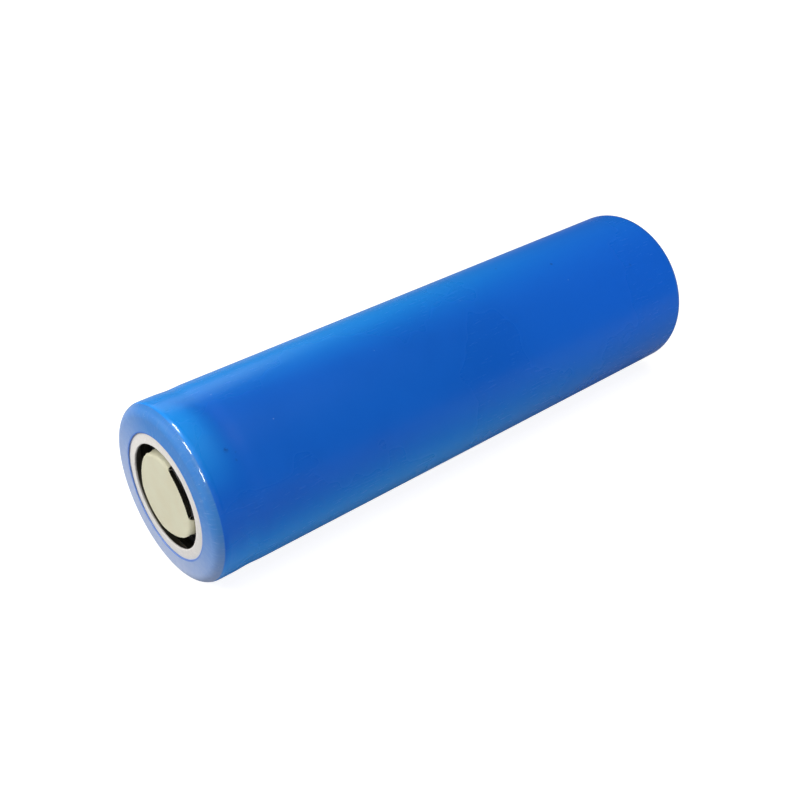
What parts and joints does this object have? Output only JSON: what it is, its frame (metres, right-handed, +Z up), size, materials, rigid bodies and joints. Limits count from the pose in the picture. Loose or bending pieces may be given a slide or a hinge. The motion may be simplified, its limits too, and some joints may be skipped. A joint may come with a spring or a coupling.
{
  "type": "cylindrical battery cell",
  "caption": "Cylindrical lithium-ion cell with a flat vented positive cap, crimped steel can, folded heat-shrink sleeve and a full header and wound roll inside.",
  "frame": {"origin": "on the cell's axis, halfway between the positive terminal face and the fold at the negative end", "axes": "the cell lies on its side: its axis runs along Y, the positive end faces -Y, +Z is up and the sleeve rests on the ground at z = -9.15 mm"},
  "size_m": [0.0183, 0.065, 0.0182],
  "materials": {
    "sleeve": "satin-gloss blue PVC heat-shrink film",
    "fibre_washer": "off-white vulcanised fibre",
    "nickel_plated_can": "nickel-plated deep-drawn steel, fine drawing marks",
    "gasket": "dark polypropylene, as it reads through the vent windows",
    "nickel_plated_cap": "warm nickel-plated pressed steel, satin",
    "ptc": "carbon-filled polymer",
    "aluminium_disc": "pressed aluminium",
    "header_insulator": "moulded polypropylene",
    "aluminium_tab": "rolled strip",
    "amber_tape": "polyimide tape",
    "roll_insulator": "thin die-cut sheet",
    "separator": "microporous polyolefin film",
    "aluminium_foil": "bright foil",
    "cathode_coat": "calendered metal-oxide coating",
    "copper_foil": "copper foil",
    "anode_coat": "calendered graphite coating",
    "green_tape": "polypropylene tape",
    "steel_pin": "rolled stainless steel",
    "nickel_tab": "rolled nickel strip"
  },
  "bodies": {
    "root": {"heat_shrink_sleeve": "sleeve", "insulating_washer": "fibre_washer", "cell_can": "nickel_plated_can", "crimp_gasket": "gasket", "positive_cap": "nickel_plated_cap", "ptc_ring": "ptc", "vent_disc": "aluminium_disc", "cid_insulator_ring": "header_insulator", "contact_plate": "aluminium_disc", "positive_tab": "aluminium_tab", "positive_tab_tape": "amber_tape", "upper_insulator": "roll_insulator", "separator_inner": "separator", "separator_outer": "separator", "cathode_foil": "aluminium_foil", "cathode_coating": "cathode_coat", "anode_foil": "copper_foil", "anode_coating": "anode_coat", "roll_tape": "green_tape", "center_pin": "steel_pin", "bottom_insulator": "roll_insulator", "negative_tab": "nickel_tab", "negative_tab_tape": "amber_tape"}
  },
  "joints": []
}
